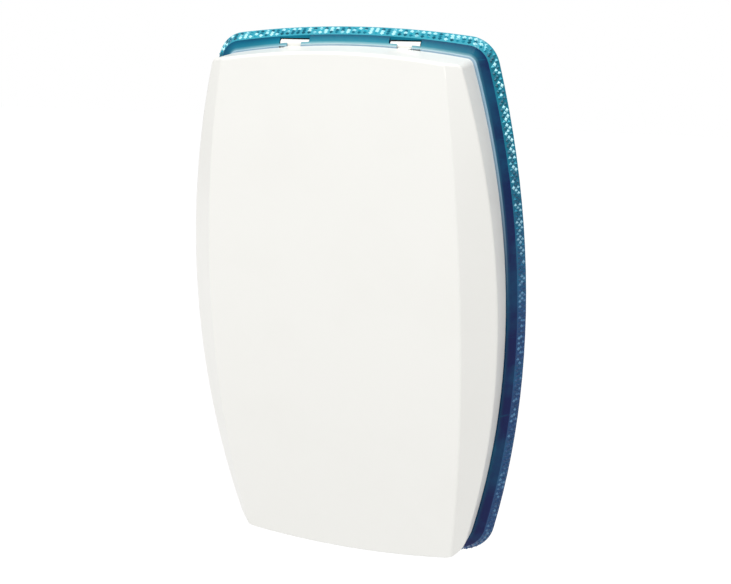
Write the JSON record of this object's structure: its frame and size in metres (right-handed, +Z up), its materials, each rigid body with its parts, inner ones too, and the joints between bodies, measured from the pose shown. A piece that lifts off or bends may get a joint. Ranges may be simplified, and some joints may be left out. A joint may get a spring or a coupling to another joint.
{
  "type": "alarm siren",
  "caption": "Wall-mounted external alarm siren: white barrel-shaped hinged cover over a translucent blue lens ring, with sounder, strobe lamps, battery and tamper switches on a back plate.",
  "frame": {"origin": "centre of the back plate's rear face, on the wall plane, behind the middle of the housing", "axes": "+Z up, -Y out of the wall towards the viewer, +X to the right seen from the front"},
  "size_m": [0.189, 0.0458, 0.3],
  "materials": {
    "base_plastic": "fine moulded texture",
    "foam": "closed-cell foam",
    "rubber": "matt",
    "lens": "translucent blue polycarbonate with moulded prisms",
    "cover": "white moulded polycarbonate, satin gloss",
    "steel": "zinc-plated steel",
    "stainless": "stainless steel",
    "nylon": "natural nylon",
    "brass": "machined",
    "disc": "rolled brass with a ceramic face",
    "vial": "clear acrylic with tinted liquid",
    "bubble": "clear",
    "board": "solder-masked laminate",
    "terminal": "moulded nylon",
    "can": "sleeved aluminium can",
    "chip": "moulded epoxy",
    "transformer": "ferrite and taped winding",
    "plug": "natural nylon",
    "led_blue": "clear tinted epoxy",
    "led_white": "phosphor lens",
    "dip_body": "moulded",
    "dip_slider": "moulded",
    "switch_body": "moulded",
    "plunger": "moulded acetal",
    "spring": "spring wire",
    "sounder": "moulded",
    "cell": "plated steel can",
    "sleeve": "heat-shrunk film",
    "lead": "soft insulation"
  },
  "bodies": {
    "base": {"back_plate": "base_plastic", "wall_gasket": "foam", "cable_grommet": "rubber", "lens_ring": "lens", "lens_screws": "steel", "cover_seal": "rubber", "hinge_pins": "steel", "screw_insert": "brass", "level_vial": "vial", "circuit_board": "board", "board_screws": "steel", "terminal_block": "terminal", "terminal_screws": "steel", "capacitors": "can", "driver_chips": "chip", "sounder_transformer": "transformer", "battery_plug": "plug", "sounder_plug": "plug", "comfort_leds": "led_blue", "led_strips": "board", "strobe_leds": "led_white", "dip_switch_body": "dip_body", "cover_tamper_switch": "switch_body", "cover_tamper_spring": "spring", "wall_tamper_housing": "switch_body", "wall_tamper_spring": "spring", "sounder_housing": "sounder", "piezo_disc": "disc", "sounder_horn": "sounder", "sounder_screws": "steel", "battery_cells": "cell", "battery_sleeve": "sleeve", "battery_strap": "steel", "battery_strap_screws": "steel", "battery_leads": "lead", "sounder_leads": "lead"},
    "cover": {"front_cover": "cover"},
    "screw_carrier": {"screw_washer": "nylon"},
    "cover_screw": {"cover_screw": "stainless"},
    "cover_plunger": {"cover_tamper_plunger": "plunger"},
    "wall_plunger": {"wall_tamper_plunger": "plunger"},
    "bubble": {"level_bubble": "bubble"},
    "slider_1": {"dip_slider_1": "dip_slider"},
    "slider_2": {"dip_slider_2": "dip_slider"},
    "slider_3": {"dip_slider_3": "dip_slider"},
    "slider_4": {"dip_slider_4": "dip_slider"}
  },
  "joints": [
    {"name": "cover_hinge", "type": "hinge", "parent": "base", "child": "cover", "pos_m": [0, -0.0073, 0.1409], "axis": [-1, 0, 0], "range_deg": [0, 55]},
    {"name": "screw_travel", "type": "slide", "parent": "cover", "child": "screw_carrier", "axis": [0, 0, 1], "range_m": [0, 0.005]},
    {"name": "screw_turn", "type": "hinge", "parent": "screw_carrier", "child": "cover_screw", "pos_m": [0, -0.02, -0.1412], "axis": [0, 0, 1], "range_deg": [0, 2572]},
    {"name": "cover_tamper_press", "type": "slide", "parent": "base", "child": "cover_plunger", "axis": [0, 1, 0], "range_m": [0, 0.003], "stiffness_N_per_m": 150, "deforming": ["cover_tamper_spring"]},
    {"name": "wall_tamper_press", "type": "slide", "parent": "base", "child": "wall_plunger", "axis": [0, -1, 0], "range_m": [0, 0.0025], "stiffness_N_per_m": 150, "deforming": ["wall_tamper_spring"]},
    {"name": "bubble_slide", "type": "slide", "parent": "base", "child": "bubble", "axis": [1, 0, 0], "range_m": [-0.008, 0.008]},
    {"name": "setting_1", "type": "slide", "parent": "base", "child": "slider_1", "axis": [0, 0, 1], "range_m": [0, 0.002]},
    {"name": "setting_2", "type": "slide", "parent": "base", "child": "slider_2", "axis": [0, 0, 1], "range_m": [0, 0.002]},
    {"name": "setting_3", "type": "slide", "parent": "base", "child": "slider_3", "axis": [0, 0, 1], "range_m": [0, 0.002]},
    {"name": "setting_4", "type": "slide", "parent": "base", "child": "slider_4", "axis": [0, 0, 1], "range_m": [0, 0.002]}
  ],
  "couplings": [
    {"joint": "screw_turn", "follows": "screw_travel", "rad_per_m": 8976}
  ]
}
